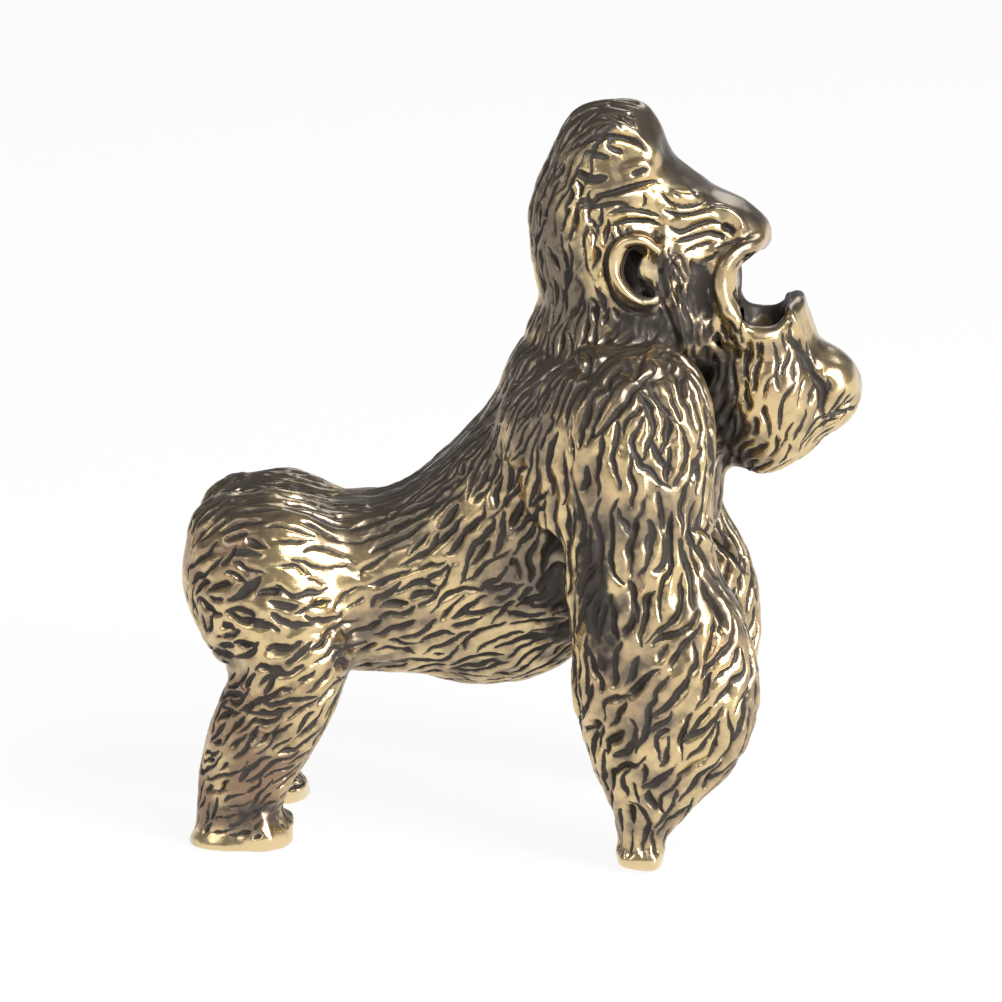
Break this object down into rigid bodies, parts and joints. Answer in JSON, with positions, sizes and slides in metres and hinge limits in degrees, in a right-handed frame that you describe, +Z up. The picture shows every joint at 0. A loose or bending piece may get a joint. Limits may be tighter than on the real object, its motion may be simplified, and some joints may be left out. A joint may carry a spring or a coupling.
{
  "type": "gorilla statue",
  "caption": "Small solid brass figure of a gorilla standing on its knuckles with its mouth wide open, for a desk or shelf.",
  "frame": {"origin": "middle of the figure's footprint, on the ground that its hands and feet stand on", "axes": "+Z up, +X forward in the direction that the face looks, +Y to the figure's left"},
  "size_m": [0.045, 0.0278, 0.0494],
  "materials": {
    "antique_brass": "fur engraved and darkened with patina, rubbed bright between the strokes",
    "worn_brass": "smooth and polished by handling"
  },
  "bodies": {
    "root": {"torso": "antique_brass", "head": "antique_brass", "lower_jaw": "antique_brass", "right_arm": "antique_brass", "left_arm": "antique_brass", "right_leg": "antique_brass", "left_leg": "antique_brass", "right_hand": "worn_brass", "left_hand": "worn_brass", "right_foot": "worn_brass", "left_foot": "worn_brass", "right_ear": "worn_brass", "left_ear": "worn_brass"}
  },
  "joints": []
}
